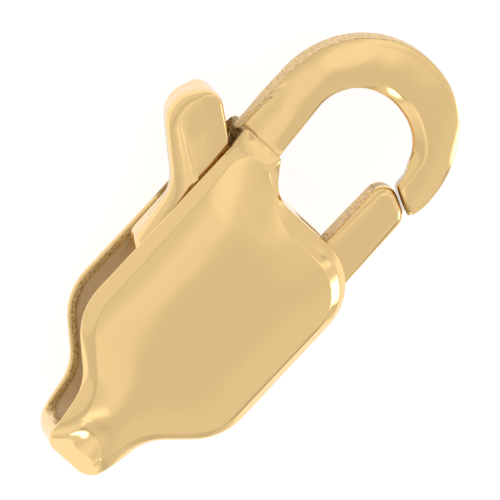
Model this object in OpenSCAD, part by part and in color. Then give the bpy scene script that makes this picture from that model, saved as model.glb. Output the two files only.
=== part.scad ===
// Lobster clasp: a hollow pressed body with a solid hook, and a sprung trigger on a hidden pin.
// The clasp lies on its back cheek. X runs from the tail to the hook, Y towards the thumb tab, Z up.
// Inside the file every piece is drawn about the body's own axis, halfway between the two cheeks.

/* [Body] */
// Length from the end of the tail to the top of the hook
clasp_length = 13; // [12.8:0.1:13.4]
// Width of the body between its two long edges
body_width = 4.86; // [4.8:0.02:5]
// Gap between the lips of the two cheeks
slot_gap = 1.8; // [1.76:0.02:1.9]
// Thickness of the sheet that the cheeks are pressed from
wall = 0.2; // [0.17:0.01:0.21]
// Upright land of each lip, before the rim turns over
lip_land = 0.04; // [0.03:0.01:0.06]
// Width of the sloping rim round each cheek
rim_width = 0.32; // [0.3:0.01:0.34]
// Height that the rim climbs from the lip to the ridge
rim_rise = 0.29; // [0.26:0.01:0.32]
// Height of the crown above the ridge
crown_rise = 0.15; // [0.1:0.01:0.2]
// Run of the crown from the ridge to its flat middle
crown_run = 0.62; // [0.58:0.01:0.66]
// Length of the solid bridge that closes the tail
bridge_length = 0.54; // [0.5:0.01:0.6]
// Width of the tail at its end
tail_width = 1.5; // [1.4:0.02:1.6]
// Width of the tail where it meets the shoulders
neck_width = 2.08; // [2:0.02:2.2]
// Length of the tail, from its end to the shoulders
tail_length = 1.7; // [1.6:0.02:1.8]
// Length of the shoulders, over which the body widens
shoulder_length = 1.22; // [1.16:0.02:1.3]
// Length over which the lips close into the rounded tail
nose_length = 0.9; // [0.8:0.02:1]
// Height of the lips at the very end of the tail
nose_lip = 0.3; // [0.26:0.02:0.34]
// Length of the neck, from the throat to the root of the hook
neck_length = 0.7; // [0.66:0.01:0.74]
// Length over which the lips close down to the hook
fall_length = 0.76; // [0.7:0.01:0.8]
// Length of the window beside the bridge
ring_window_length = 0.95; // [0.9:0.01:1]
// Height of the window beside the bridge
ring_window_height = 0.8; // [0.76:0.01:0.84]

/* [Hook] */
// Thickness of the hook
hook_thickness = 0.83; // [0.8:0.01:0.9]
// Radius of the middle line of the hook's bend
bend_radius = 1.89; // [1.87:0.01:1.93]
// Length of the hook's straight part
straight_length = 1.65; // [1.6:0.01:1.7]
// Width of the hook at the body
root_bar = 1.24; // [1.2:0.01:1.26]
// Width of the hook where its bend begins
side_bar = 1.12; // [1.08:0.01:1.14]
// Width of the hook at the top of its bend
top_bar = 1.3; // [1.26:0.01:1.32]
// Width of the hook at its tip
tip_bar = 0.9; // [0.86:0.01:0.94]
// Rounding of the hook's long edges
hook_round = 0.2; // [0.16:0.01:0.24]
// Angle that the bend turns past a half circle
tip_turn = 10.7; // [10:0.1:11.4]
// Lean of the tip's cut face from the clasp's width
tip_lean = 24.4; // [23:0.2:26]

/* [Trigger] */
// Thickness of the lever and the thumb tab
lever_thickness = 1.56; // [1.5:0.01:1.6]
// Rounding of the tab's edges
tab_round = 0.24; // [0.2:0.01:0.28]
// Height of the thumb tab above the body's edge
tab_height = 1.67; // [1.6:0.01:1.75]
// Width of the thumb tab across its length
tab_width = 1.14; // [1.1:0.01:1.2]
// Lean of the thumb tab towards the hook
tab_lean = 38.5; // [37:0.5:40]
// Length of the tab's foot along the body
tab_foot = 1.4; // [1.36:0.02:1.46]
// Length of the lever's flush top, from the front of the tab
lever_length = 2.95; // [2.9:0.01:3]
// Length and depth of the slant at the lever's free end
lever_slant = 0.7; // [0.66:0.01:0.74]
// Width of the gate
gate_width = 1.05; // [1:0.01:1.08]
// Thickness of the gate
gate_thickness = 0.8; // [0.76:0.01:0.82]
// Rounding of the gate's long edges
gate_round = 0.09; // [0.07:0.01:0.12]
// Gap between the closed gate and the hook's tip
gate_gap = 0.05; // [0.04:0.01:0.07]
// Angle that the trigger opens
swing = 25; // [22:1:26]

/* [Pivot] */
// Distance of the pin from the throat
pin_setback = 1.51; // [1.5:0.01:1.53]
// Diameter of the pivot pin
pin_diameter = 0.6; // [0.56:0.01:0.62]
// Radial clearance of the lever on the pin
running_clearance = 0.03; // [0.02:0.01:0.04]
// Clearance of the pin in its two sockets, each way
seat_clearance = 0.01; // [0.01:0.005:0.02]
// Radius of the lever's eye
eye_radius = 0.78; // [0.76:0.01:0.8]
// Thickness of the spring's wire
spring_wire = 0.13; // [0.11:0.01:0.14]
// Turns of the spring
spring_turns = 3; // [2:1:3]
// Free space round the spring and beside the lever's eye
free_space = 0.06; // [0.05:0.005:0.07]

/* [Hidden] */
$fn = 64;

half_length = clasp_length / 2;
half_width = body_width / 2;
half_gap = slot_gap / 2;
lip_height = half_gap + lip_land;
ridge_height = lip_height + rim_rise;
half_depth = ridge_height + crown_rise;
hook_half = hook_thickness / 2;
lever_half = lever_thickness / 2;
gate_half = gate_thickness / 2;

// Places along the clasp
bend_x = half_length - top_bar / 2 - bend_radius;
root_x = bend_x - straight_length;
throat_x = root_x - neck_length;
neck_x = tail_length - half_length;
shoulder_x = neck_x + shoulder_length;
slot_end_x = bridge_length + 0.1 * wall - half_length;

// The hook is let into the neck by this share of the sheet
plug_x = root_x - 0.8 * wall;

// Middle line of the hook's root, whose outer side is flush with the lip
root_y = half_width - root_bar / 2;

// Axis of the pivot. The eye clears the wall that it faces by a little more than the free space.
pivot = [throat_x - pin_setback, eye_radius + wall + 1.6 * free_space - half_width];

// Long edges of the gate
gate_bottom = pivot[1] - eye_radius + 0.02 * gate_width;
gate_top = gate_bottom + gate_width;

// Smallest rounding, on edges that are left crisp
crisp = 0.05;

// Blend from a to b, even or with a soft start and end
function mix(a, b, t) = a * (1 - t) + b * t;
function ease(t) = let (c = min(max(t, 0), 1)) c * c * (3 - 2 * c);
function unit(v) = v / norm(v);
function left_of(v) = [-v[1], v[0]];
function turned(v, a) = [v[0] * cos(a) - v[1] * sin(a), v[0] * sin(a) + v[1] * cos(a)];
function raised(p, z) = [p[0], p[1], z];

// Arc that rounds the corner b between its neighbours a and c
function corner_arc(a, b, c, radius, steps) =
    let (
        to_a = unit(a - b),
        to_c = unit(c - b),
        half = acos(min(max(to_a * to_c, -1), 1)) / 2,
        centre = b + unit(to_a + to_c) * radius / sin(half),
        start = b + to_a * radius / tan(half) - centre,
        sweep = (180 - 2 * half) * (cross(to_a, to_c) < 0 ? 1 : -1)
    )
    [for (k = [0 : steps]) centre + turned(start, sweep * k / steps)];

// Closed outline with rounded corners; between counts the points added on the edge after each corner
function rounded(corners, radii, steps, between) =
    let (
        n = len(corners),
        arcs = [for (i = [0 : n - 1])
            corner_arc(corners[(i + n - 1) % n], corners[i], corners[(i + 1) % n], radii[i], steps[i])]
    )
    [for (i = [0 : n - 1]) each concat(
        arcs[i],
        [for (k = [1 : 1 : between[i]]) mix(arcs[i][steps[i]], arcs[(i + 1) % n][0], k / (between[i] + 1))]
    )];

// Corners of an outline whose edge after corner i moves inwards by inset[i]
function inset_corners(corners, inset) =
    let (n = len(corners))
    [for (i = [0 : n - 1])
        let (
            before = unit(corners[i] - corners[(i + n - 1) % n]),
            after = unit(corners[(i + 1) % n] - corners[i]),
            p = corners[i] + left_of(before) * inset[(i + n - 1) % n],
            q = corners[i] + left_of(after) * inset[i]
        )
        p + before * cross(q - p, after) / cross(before, after)];

// Closed solid through rings of equal count, from the highest to the lowest, with a tip at each end
module ringed_solid(rings, first_tip, last_tip) {
    n = len(rings[0]);
    m = len(rings);
    points = concat([for (ring = rings) each ring], [first_tip, last_tip]);
    sides = [for (i = [0 : m - 2], j = [0 : n - 1])
        let (a = i * n + j, b = i * n + (j + 1) % n)
        each [[a, b, b + n], [a, b + n, a + n]]];
    first_fan = [for (j = [0 : n - 1]) [(j + 1) % n, j, m * n]];
    last_fan = [for (j = [0 : n - 1]) [(m - 1) * n + j, (m - 1) * n + (j + 1) % n, m * n + 1]];
    polyhedron(points, concat(sides, first_fan, last_fan));
}

// Closed solid through rings of equal count whose two ends close over a flat table, a loop of points that
// runs the same way round. seat names, for each point of a ring, the point of the table that it joins.
module tabled_solid(rings, first_table, last_table, seat) {
    n = len(rings[0]);
    m = len(rings);
    corners = len(first_table);
    first = m * n;
    last = first + corners;
    low = (m - 1) * n;
    sides = [for (i = [0 : m - 2], j = [0 : n - 1])
        let (a = i * n + j, b = i * n + (j + 1) % n)
        each [[a, b, b + n], [a, b + n, a + n]]];
    caps = [for (j = [0 : n - 1])
        let (next = (j + 1) % n, from = seat[j], passed = (seat[next] - from + corners) % corners)
        each concat(
            [[next, j, first + from], [low + j, low + next, last + from]],
            [for (k = [0 : 1 : passed - 1])
                let (a = (from + k) % corners, b = (a + 1) % corners)
                each [[next, first + a, first + b], [low + next, last + b, last + a]]]
        )];
    tables = [[for (k = [corners - 1 : -1 : 0]) first + k], [for (k = [0 : corners - 1]) last + k]];
    polyhedron(concat([for (ring = rings) each ring], first_table, last_table), concat(sides, caps, tables));
}

// Corners of the cheek's outline, anticlockwise from the tail. Columns: place along, place across as a
// share of half the width, roundings at the lip, inside the lip and at the ridge as shares of half the
// width, steps in the rounding, and for the edge after the corner its added points, its rim as a share of
// the rim's width and the thickness behind it. The last column is the corner of the crown's table that the
// corner faces.
ALONG = 0;
ACROSS = 1;
LIP_ROUND = 2;
INNER_ROUND = 3;
RIDGE_ROUND = 4;
STEPS = 5;
ADDED = 6;
RIM = 7;
BEHIND = 8;
FACES = 9;
tail_share = tail_width / body_width;
neck_share = neck_width / body_width;
cheek = [
    [-half_length, -tail_share, 0.17, 0.17, 0.06, 5, 2, 1, wall, 0],
    [neck_x, -neck_share, 0.53, 0.53, 0.62, 5, 1, 1, wall, 0],
    [shoulder_x, -1, 0.66, 0.58, 0.53, 6, 4, 1, wall, 1],
    [throat_x, -1, 0.47, 0.39, 0.33, 8, 3, 1.3, wall, 3],
    [throat_x, 0.42, 0.34, 0.26, 0.34, 6, 1, 0.95, wall, 4],
    [root_x, 1 - root_bar / half_width, 0.01, 0.09, 0.02, 1, 1, 1.3, 1.5 * wall, 4],
    [root_x, 1, 0.01, 0.09, 0.1, 2, 8, 1, wall, 4],
    [shoulder_x, 1, 0.66, 0.58, 0.53, 6, 1, 1, wall, 6],
    [neck_x, neck_share, 0.53, 0.53, 0.62, 5, 2, 1, wall, 7],
    [-half_length, tail_share, 0.17, 0.17, 0.06, 5, 1, 2, bridge_length, 7]
];
function column(table, c) = [for (row = table) row[c]];

cheek_corners = [for (row = cheek) [row[ALONG], row[ACROSS] * half_width]];

// Outline of the cheek's lip or ridge, moved inwards by the given widths, with one column's roundings
function cheek_outline(inset, round_column) =
    rounded(inset_corners(cheek_corners, inset), half_width * column(cheek, round_column),
        column(cheek, STEPS), column(cheek, ADDED));

// Corners of the crown's table, the flat middle of each cheek, anticlockwise from the tail: place along,
// and place across as a share of half the table's width. seat gives each outline point its table corner.
table_half = half_width - rim_width - crown_run;
table_corners = [
    [shoulder_x + 0.3 * shoulder_length, -0.4],
    [shoulder_x + shoulder_length, -0.95],
    [throat_x - 2 * neck_length, -0.97],
    [throat_x - 1.1 * neck_length, -0.54],
    [throat_x - 1.1 * neck_length, 0.6],
    [throat_x - 2.6 * neck_length, 1],
    [shoulder_x + 0.8 * shoulder_length, 0.94],
    [shoulder_x + 0.3 * shoulder_length, 0.4]
];
seat = [for (i = [0 : len(cheek) - 1])
    let (
        count = len(table_corners),
        from = cheek[i][FACES],
        next = cheek[(i + 1) % len(cheek)][FACES],
        to = next < from ? next + count : next,
        steps = cheek[i][STEPS],
        added = cheek[i][ADDED]
    )
    each concat(
        [for (k = [0 : steps]) from],
        [for (k = [1 : 1 : added]) round(mix(from, to, k / (added + 1))) % count]
    )];

// Heights above the clasp's middle plane: of the lip, and of the ridge, which dips by shares of the rim's
// rise at the tail and the neck
function nose_curve(x) = let (q = min(max((x + half_length) / nose_length, 0), 1)) sqrt(1 - pow(1 - q, 2));
function fall(x) = ease((x - root_x + fall_length) / fall_length);
function lip_at(x) = mix(
    mix(nose_lip, lip_height, nose_curve(x)),
    hook_half + lip_land,
    fall(x)
);
function ridge_at(x) = ridge_height
    - 0.35 * rim_rise * (1 - ease((x + half_length - 0.35 * tail_length) / (0.7 * tail_length)))
    - 0.28 * rim_rise * ease((x - root_x + 2 * neck_length) / (1.4 * neck_length));

// Rings of one cheek from the ridge down to the lip; skin is how far its surface lies inside
function cheek_rings(lip, ridge, skin) =
    let (n = len(lip))
    concat(
        [for (t = [0, 0.35, 0.8])
            [for (j = [0 : n - 1]) let (p = mix(ridge[j], lip[j], t))
                raised(p, mix(ridge_at(ridge[j][0]) - skin, lip_at(lip[j][0]), pow(t, 1.25)))]],
        [[for (j = [0 : n - 1]) raised(lip[j], lip_at(lip[j][0]))]]
    );

// Both cheeks, each crowned by its table, with the walls between their lips, as one closed solid
module clam(lip, ridge, skin) {
    front = cheek_rings(lip, ridge, skin);
    back = [for (i = [len(front) - 1 : -1 : 0]) [for (p = front[i]) [p[0], p[1], -p[2]]]];
    table = [for (p = table_corners) [p[0], p[1] * table_half, half_depth - skin]];
    tabled_solid(concat(front, back), table, [for (p = table) [p[0], p[1], -p[2]]], seat);
}

lip_line = cheek_outline([for (row = cheek) 0], LIP_ROUND);
ridge_line = cheek_outline(rim_width * column(cheek, RIM), RIDGE_ROUND);
inner_lip_line = cheek_outline(column(cheek, BEHIND), INNER_ROUND);
inner_ridge_line = cheek_outline(column(cheek, BEHIND) + 0.7 * rim_width * column(cheek, RIM), RIDGE_ROUND);

// Lays a cutting outline, drawn along and up, across the body
module across_body(from, to) {
    rotate([90, 0, 0]) translate([0, 0, -to]) linear_extrude(to - from) children();
}

// Long opening between the lips, from the tail's bridge to the hook's root, where it narrows with them
module slot_cut() {
    end_round = half_gap / 2;
    end_x = slot_end_x + end_round;
    inner_x = root_x - 2 * fall_length;
    upper = concat(
        [[inner_x, half_gap]],
        [for (k = [0 : 5]) let (x = mix(root_x - fall_length, plug_x, k / 5)) [x, lip_at(x) - lip_land]]
    );
    lower = [for (k = [len(upper) - 1 : -1 : 0]) [upper[k][0], -upper[k][1]]];
    across_body(half_width / 8, half_width + wall) {
        for (side = [-1, 1]) translate([end_x, side * (half_gap - end_round)]) circle(end_round);
        translate([slot_end_x, end_round - half_gap]) square([end_round, slot_gap - 2 * end_round]);
        translate([end_x, -half_gap]) square([inner_x - end_x, slot_gap]);
    }
    across_body(half_width - 2 * wall, half_width + wall) polygon(concat(upper, lower));
}

// Window in the throat that the closed gate passes and the open gate swings in
window_half = gate_half + 1.3 * free_space;
window_depth = 0.35 * half_width;
window_top = pivot[1] + (gate_top - pivot[1]) / cos(swing) + (throat_x - pivot[0]) * tan(swing)
    + 2 * free_space;
module gate_window() {
    translate([throat_x - window_depth, -half_width - wall, -window_half])
        cube([window_depth + 2 * wall, half_width + wall + window_top, 2 * window_half]);
}

// Window beside the tail, so that a ring passes round the bridge
module ring_window() {
    end_round = ring_window_height / 2;
    across_body(-half_width, 0) {
        for (end_x = [end_round, ring_window_length - end_round])
            translate([slot_end_x + end_x, 0]) circle(end_round);
        translate([slot_end_x + end_round, -end_round])
            square([ring_window_length - ring_window_height, ring_window_height]);
    }
}

// Section of the hook: a rounded bar across the direction out of its bend
function bar_ring(centre, out, width, depth, radius) =
    [for (quarter = [0 : 3], k = [0 : 3])
        let (
            a = 90 * quarter + 30 * k,
            corner = [quarter == 0 || quarter == 3 ? 1 : -1, quarter < 2 ? 1 : -1],
            across = corner[0] * (width / 2 - radius) + radius * cos(a),
            down = corner[1] * (depth / 2 - radius) + radius * sin(a)
        )
        raised(centre + out * across, -down)];

bend = [bend_x, 0];
bend_steps = 22;
tip_angle = -90 - tip_turn;
tip_centre = bend + turned([bend_radius, 0], tip_angle);
tip_out = -[sin(tip_lean), cos(tip_lean)];

// Width of the bar round the bend, from its side over its top to its tip
function bend_bar(a) = mix(a > 0 ? side_bar : tip_bar, top_bar, pow(cos(min(abs(a), 90)), 2));

module hook() {
    straight = [for (k = [0 : 3]) let (t = k / 4, x = mix(plug_x, bend_x, t))
        bar_ring([x, mix(root_y, bend_radius, t)], [0, 1], mix(root_bar, side_bar, t), hook_thickness,
            mix(crisp, hook_round, max(0, 2 * t - 1)))];
    round = [for (k = [0 : bend_steps]) let (a = 90 - 180 * k / bend_steps)
        bar_ring(bend + turned([bend_radius, 0], a), turned([1, 0], a), bend_bar(a), hook_thickness, hook_round)];
    tip = [for (t = [0.5, 1]) let (a = mix(-90, tip_angle, t), out = unit(mix([0, -1], tip_out, t)))
        bar_ring(bend + turned([bend_radius, 0], a), out, tip_bar, hook_thickness, hook_round)];
    ringed_solid(concat(straight, round, tip), [plug_x, root_y, 0], raised(tip_centre, 0));
}

// Socket in each cheek for the pin, rooted in the cheek's skin. The pin ends just under that skin.
socket_radius = pin_diameter / 2 + wall;
socket_mouth = lever_half + free_space;
socket_top = half_depth - 0.9 * wall;
pin_half = half_depth - wall - 2 * seat_clearance;

module socket_pair() {
    for (side = [0, 1]) mirror([0, 0, side])
        translate([pivot[0], pivot[1], socket_mouth]) cylinder(h = socket_top - socket_mouth, r = socket_radius);
}

module body_shell() {
    difference() {
        clam(lip_line, ridge_line, 0);
        clam(inner_lip_line, inner_ridge_line, wall);
        slot_cut();
        gate_window();
        ring_window();
    }
}

// Lifts a piece from the body's own axis to the frame, whose origin is under the middle of the whole
module placed() {
    translate([0, -tab_height / 2, half_depth]) children();
}

module body() {
    color("goldenrod") placed() difference() {
        union() {
            body_shell();
            hook();
            socket_pair();
        }
        translate([pivot[0], pivot[1], -pin_half - seat_clearance])
            cylinder(h = 2 * (pin_half + seat_clearance), r = pin_diameter / 2 + seat_clearance);
    }
}

// Thumb tab: a rounded bar that leans towards the hook, so high that its crest reaches the tab's height
tab_along = [sin(tab_lean), cos(tab_lean)];
tab_across = [cos(tab_lean), -sin(tab_lean)];
tab_root = [throat_x + free_space, half_width];
tab_crest_round = 0.48 * tab_width;
tab_reach = (tab_height - tab_width * tab_along[0] + tab_crest_round * (tab_along[0] + tab_along[1] - 1))
    / tab_along[1];
tab_crest = tab_root + tab_along * tab_reach;

// Corners of the lever and its tab, anticlockwise from the eye's front. Columns: corner, rounding as a
// share of the tab's width, and steps in the rounding.
CORNER = 0;
ROUND = 1;
TURNS = 2;
lever = [
    [pivot + eye_radius * [0.5, -0.6], 0.04, 2],
    [[throat_x - 0.7 * neck_length, half_width / 8], 0.53, 4],
    [tab_root - [0, free_space], 0.7, 4],
    [tab_crest, 0.35, 6],
    [tab_crest - tab_across * tab_width, tab_crest_round / tab_width, 7],
    [tab_root + [-tab_foot, 2 * free_space], 0.6, 5],
    [tab_root - [lever_length, 0], 0.19, 3],
    [tab_root - [lever_length + lever_slant, lever_slant], 0.26, 3],
    [pivot - eye_radius * [0.7, 0.3], 0.04, 2]
];

// Plate with rounded edges, from its corners
module pillow(corners, radii, steps, added, half, edge, heart) {
    upper = [for (a = [90, 55, 25, 0])
        let (
            inset = edge * (1 - cos(a)),
            line = rounded(
                inset_corners(corners, [for (c = corners) inset]),
                [for (r = radii) max(r - inset, 0.3 * r)],
                steps,
                added
            )
        )
        [for (p = line) raised(p, half - edge * (1 - sin(a)))]];
    lower = [for (i = [3 : -1 : 0]) [for (p = upper[i]) [p[0], p[1], -p[2]]]];
    ringed_solid(concat(upper, lower), raised(heart, half), raised(heart, -half));
}

// Gate: a flat bar whose end lies along the hook's cut tip. Columns: corner, rounding as a share of the
// gate's width, and steps in the rounding.
gate_end = tip_centre - gate_gap * left_of(tip_out);
function gate_x(y) = gate_end[0] + (y - gate_end[1]) * tan(tip_lean);
gate = [
    [[pivot[0], gate_bottom], 0.03, 1],
    [[gate_x(gate_bottom), gate_bottom], 0.21, 4],
    [[gate_x(gate_top), gate_top], 0.38, 5],
    [[pivot[0] + eye_radius / 4, gate_top], 0.03, 1]
];
gate_added = [3, 0, 2, 0];

recess_radius = pin_diameter / 2 + spring_wire + 2 * free_space;
recess_floor = lever_half - spring_turns * spring_wire - free_space;

module trigger() {
    color("gold") placed() difference() {
        union() {
            pillow(column(lever, CORNER), tab_width * column(lever, ROUND), column(lever, TURNS),
                [for (row = lever) 1], lever_half, tab_round,
                [tab_root[0] - tab_foot, half_width - lever_slant]);
            pillow(column(gate, CORNER), gate_width * column(gate, ROUND), column(gate, TURNS), gate_added,
                gate_half, gate_round, [mix(pivot[0], gate_end[0], 0.5), (gate_bottom + gate_top) / 2]);
            translate([pivot[0], pivot[1], -lever_half]) cylinder(h = lever_thickness, r = eye_radius);
        }
        translate([pivot[0], pivot[1], -lever_thickness])
            cylinder(h = 2 * lever_thickness, r = pin_diameter / 2 + running_clearance);
        translate([pivot[0], pivot[1], recess_floor]) cylinder(h = lever_thickness, r = recess_radius);
    }
}

module pivot_pin() {
    color("silver") placed() translate([pivot[0], pivot[1], -pin_half])
        cylinder(h = 2 * pin_half, r = pin_diameter / 2);
}

// Closely wound turns round the pin, in the lever's recess
module return_spring() {
    wire_radius = spring_wire / 2;
    coil_radius = pin_diameter / 2 + free_space + wire_radius;
    color("silver") placed() translate([pivot[0], pivot[1], recess_floor + free_space / 2])
        rotate_extrude() {
            for (turn = [0 : spring_turns - 1])
                translate([coil_radius, wire_radius + turn * spring_wire]) circle(wire_radius, $fn = 24);
            translate([coil_radius - wire_radius / 2, wire_radius])
                square([wire_radius, (spring_turns - 1) * spring_wire]);
        }
}

body();
trigger();
pivot_pin();
return_spring();
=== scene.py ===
import bpy
import bmesh
import numpy as np
from mathutils import Matrix


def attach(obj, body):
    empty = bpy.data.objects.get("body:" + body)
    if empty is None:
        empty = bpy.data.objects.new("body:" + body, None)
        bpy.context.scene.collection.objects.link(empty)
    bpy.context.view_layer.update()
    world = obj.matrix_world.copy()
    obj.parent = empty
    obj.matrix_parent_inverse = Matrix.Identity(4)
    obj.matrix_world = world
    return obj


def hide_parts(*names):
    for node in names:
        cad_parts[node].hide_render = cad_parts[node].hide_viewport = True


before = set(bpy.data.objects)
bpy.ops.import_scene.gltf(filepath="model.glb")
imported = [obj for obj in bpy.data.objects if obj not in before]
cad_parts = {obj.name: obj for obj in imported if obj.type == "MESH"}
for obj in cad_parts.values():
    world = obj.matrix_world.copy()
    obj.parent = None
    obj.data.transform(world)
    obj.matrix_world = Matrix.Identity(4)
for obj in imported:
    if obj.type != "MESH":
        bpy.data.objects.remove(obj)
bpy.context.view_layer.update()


# Pressed body. Two cheeks of 14-carat yellow gold sheet, struck in a die with a raised rim and a gently
# crowned middle, soldered edge to edge and cut open along one side for the lever, at the throat for the
# gate and beside the tail for a ring. The outside is polished; the cut edges and the inside are left raw.
MM = 0.001
BODY_LIFT = np.array([0.0, -0.835, 1.38])  # the body's own axis in the frame; lengths are in mm from it
SHEET = 0.2
TAIL_X = -6.5
ROOT_X = 2.31
LIP_HEIGHT = 0.94
NOSE_LIP = 0.30
ROOT_LIPS = (0.86, 0.74)  # at the lower and at the upper end of the neck's root
RIDGE_HEIGHT = 1.23
TAIL_DIP, NECK_DIP = 0.10, 0.17
CROWN_RISE = 0.15
CROWN_RUN = 1.36  # depth inside the ridge at which the crown has its whole rise
RIDGE_WALL = 0.13  # from the ridge in to the ridge of the inner skin
LIP_ROUND = 0.045
EDGE_ROUND = 0.018
SLOT_ROUND = 0.055  # the buffing wheel rounded the slot's lips this much more
NECK_SOLDER = 0.15  # solder thickens the sheet inside the neck by this

# Corners of the cheek, anticlockwise. Columns: place of the lip's corner and its rounding, rounding inside
# the lip, place of the ridge's corner and its rounding, and metal behind the lip.
cheek = np.array([
    [-6.50, -0.75, 0.41, 0.41, -5.90, -0.47, 0.25, 0.20],  # end of the tail, below
    [-4.80, -1.04, 1.29, 1.29, -4.75, -0.76, 1.50, 0.20],  # waist, below
    [-3.58, -2.43, 1.60, 1.41, -3.44, -2.18, 1.29, 0.20],  # shoulder, below
    [1.61, -2.43, 1.42, 1.20, 1.08, -2.20, 1.15, 0.20],    # foot of the throat
    [1.61, 0.76, 0.90, 0.70, 1.14, 0.24, 1.50, 0.20],      # top of the throat
    [2.37, 1.28, 0.06, 0.10, 1.97, 1.40, 0.16, 0.32],      # root of the neck, below
    [2.36, 2.43, 0.03, 0.22, 1.93, 2.18, 0.40, 0.20],      # root of the neck, above
    [-3.58, 2.43, 1.60, 1.41, -3.44, 2.09, 1.29, 0.20],    # shoulder, above
    [-4.80, 1.04, 1.29, 1.29, -4.72, 0.72, 1.50, 0.20],    # waist, above
    [-6.50, 0.75, 0.55, 0.45, -5.90, 0.43, 0.25, 0.27],    # end of the tail, above
])
THROAT_FOOT, ROOT_LOW, ROOT_HIGH = 3, 5, 6
lip_corners, ridge_corners = cheek[:, :2], cheek[:, 4:6]
lip_radius, inner_radius, ridge_radius, behind = cheek[:, 2], cheek[:, 3], cheek[:, 6], cheek[:, 7]


def unit(v):
    """Each vector divided by its length."""
    return v / np.linalg.norm(v, axis=-1, keepdims=True)


def fade(value, start, end):
    """Soft step of a value from 0 at start to 1 at end: with t its share of that way, kept between 0 and 1,
    it is 3t^2 - 2t^3."""
    t = np.clip((value - start) / (end - start), 0, 1)
    return t * t * (3 - 2 * t)


def mixed(a, b, t):
    """Blend from a to b: a plus t times their difference."""
    return a + (b - a) * t


def raised(xy, z):
    """Points of the plane set at a height."""
    return np.concatenate([xy, np.broadcast_to(np.asarray(z), xy.shape[:-1])[..., None]], -1)


def corner_arc(before, corner, after, radius, share):
    """Rounds corners, in the plane or in space: the arc of that radius that is tangent to both sides of the
    corner, from half the angle between them, and the point at that share of its sweep."""
    to_before, to_after = unit(before - corner), unit(after - corner)
    half = np.arccos(np.clip(np.sum(to_before * to_after, -1), -1, 1))[..., None] / 2
    radius = np.asarray(radius)[..., None]
    centre = corner + unit(to_before + to_after) * radius / np.sin(half)
    start = corner + to_before * radius / np.tan(half) - centre
    end = corner + to_after * radius / np.tan(half) - centre
    sweep = np.pi - 2 * half
    return centre + (np.sin((1 - share) * sweep) * start + np.sin(share * sweep) * end) / np.sin(sweep)


def side_lengths(corners):
    """Length of the side that follows each corner of an outline."""
    return np.linalg.norm(np.roll(corners, -1, 0) - corners, axis=1)


def turns_at(corners):
    """Angle by which an outline turns at each corner: the arc cosine of its two sides' unit vectors."""
    after = unit(np.roll(corners, -1, 0) - corners)
    return np.arccos(np.clip(np.sum(after * np.roll(after, 1, 0), 1), -1, 1))


def moved_in(corners, widths):
    """Corners of an outline whose side after corner i has moved inwards by widths[i]: where the two moved
    lines that meet at the corner cross."""
    after = unit(np.roll(corners, -1, 0) - corners)
    before = np.roll(after, 1, 0)
    p = corners + np.stack([-before[:, 1], before[:, 0]], 1) * np.roll(widths, 1)[:, None]
    q = corners + np.stack([-after[:, 1], after[:, 0]], 1) * widths[:, None]
    cross = before[:, 0] * after[:, 1] - before[:, 1] * after[:, 0]
    gap = q - p
    along = (gap[:, 0] * after[:, 1] - gap[:, 1] * after[:, 0]) / cross
    return p + before * along[:, None]


def rounded_outline(corners, radii, arc_steps, side_steps, reaches=None):
    """Closed outline of arcs at the corners and evenly divided straight sides between them. A corner with a
    reach stays sharp; its points stand on its two sides, as seen at even angles from inside the corner."""
    arcs = []
    for i, corner in enumerate(corners):
        before, nxt = corners[i - 1], corners[(i + 1) % len(corners)]
        share = np.linspace(0, 1, arc_steps[i] + 1)[:, None]
        if reaches is None or reaches[i] == 0:
            arcs.append(corner_arc(before, corner, nxt, radii[i], share))
        else:
            way = np.where(share < 0.5, unit(before - corner), unit(nxt - corner))
            arcs.append(corner + way * reaches[i] * np.tan(np.abs(2 * share - 1) * np.pi / 4))
    parts = []
    for i, arc in enumerate(arcs):
        nxt = arcs[(i + 1) % len(arcs)][0]
        t = np.linspace(0, 1, side_steps[i] + 2)[1:-1, None]
        parts += [arc, arc[-1] + (nxt - arc[-1]) * t]
    return np.concatenate(parts)


def corner_places(arc_steps, side_steps):
    """Index of the middle of each corner's arc in a rounded outline: all points before that arc, and half
    of its own steps."""
    points = arc_steps + 1 + side_steps
    return np.cumsum(points) - points + arc_steps / 2


def smoothed(values, spread, closed=True):
    """Each row averaged with its neighbours by a bell curve that many rows wide."""
    reach = int(4 * spread) + 1
    bell = np.exp(-0.5 * (np.arange(-reach, reach + 1) / spread) ** 2)
    bell /= bell.sum()
    padded = np.pad(values, [(reach, reach)] + [(0, 0)] * (values.ndim - 1), mode="wrap" if closed else "edge")
    return sum(w * padded[k:k + len(values)] for k, w in enumerate(bell))


# Outlines of the lip, of the inside of the lip and of the two ridges, each with the same number of points.
# The upper corner of the root stays sharp where the neck meets the hook.
SPACING = 0.025
ROOT_REACH, INNER_REACH = 0.70, 0.72  # along the lip, and what share of it inside
root_reach = np.where(np.arange(len(cheek)) == ROOT_HIGH, ROOT_REACH, 0)
turn = turns_at(lip_corners)
arc_steps = np.maximum(2, np.round(np.maximum(lip_radius, ridge_radius) * turn / SPACING)).astype(int)
reach = np.maximum(lip_radius * np.tan(turn / 2), root_reach)
straight = side_lengths(lip_corners) - reach - np.roll(reach, -1)
side_steps = np.maximum(1, np.round(straight / SPACING)).astype(int)
lip_line = smoothed(rounded_outline(lip_corners, lip_radius, arc_steps, side_steps, root_reach), 2)
inner_lip_line = smoothed(rounded_outline(moved_in(lip_corners, behind), inner_radius, arc_steps, side_steps,
                                          INNER_REACH * root_reach), 3)
ridge_line = smoothed(rounded_outline(ridge_corners, ridge_radius, arc_steps, side_steps), 4)
inner_ridge_corners = moved_in(ridge_corners, np.full(len(cheek), RIDGE_WALL))
inner_ridge_line = smoothed(rounded_outline(inner_ridge_corners, ridge_radius, arc_steps, side_steps), 4)
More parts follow.
